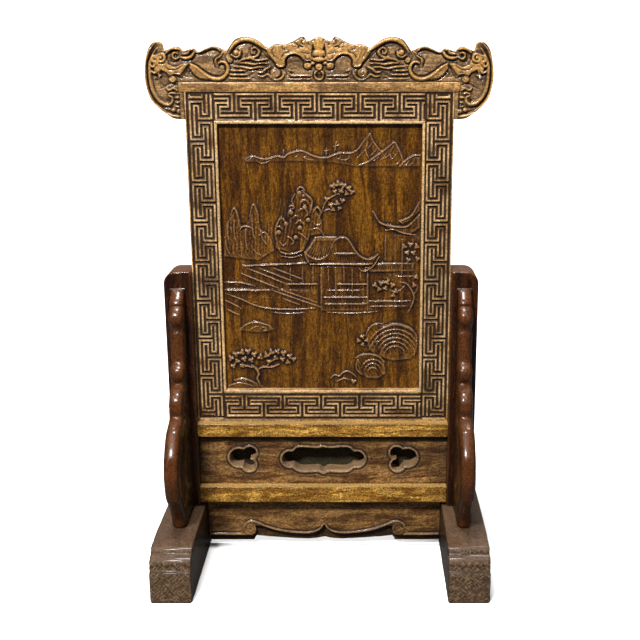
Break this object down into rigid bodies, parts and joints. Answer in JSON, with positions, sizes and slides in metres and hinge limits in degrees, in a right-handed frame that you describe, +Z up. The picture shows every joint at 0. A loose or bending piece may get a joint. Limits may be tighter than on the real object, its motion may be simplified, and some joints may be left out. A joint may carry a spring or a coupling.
{
  "type": "table screen",
  "caption": "Carved hardwood table screen: framed relief landscape panel with a fret border and carved crest, held between posts on shaped feet.",
  "frame": {"origin": "on the floor under the middle of the screen, midway between the feet and midway front to back", "axes": "+Z up, +X to the right as seen from the carved front, +Y towards the back; the carved front faces -Y"},
  "size_m": [0.322, 0.232, 0.515],
  "materials": {
    "golden_wood": "waxed and worn, golden brown with dark recesses",
    "panel_wood": "waxed, dark brown with golden streaks",
    "dark_wood": "polished dark reddish brown",
    "foot_wood": "worn and dusty greyish brown",
    "stained_wood": "dull dark stain"
  },
  "bodies": {
    "root": {"foot_left": "foot_wood", "post_left": "dark_wood", "bracket_left_front": "dark_wood", "bracket_left_back": "dark_wood", "frame_left": "golden_wood", "foot_right": "foot_wood", "post_right": "dark_wood", "bracket_right_front": "dark_wood", "bracket_right_back": "dark_wood", "frame_right": "golden_wood", "frame_top": "golden_wood", "frame_bottom": "golden_wood", "crest": "golden_wood", "upper_rail": "golden_wood", "lower_rail": "golden_wood", "landscape_panel": "panel_wood", "pierced_panel": "panel_wood", "apron": "panel_wood", "backing_board": "stained_wood"}
  },
  "joints": []
}
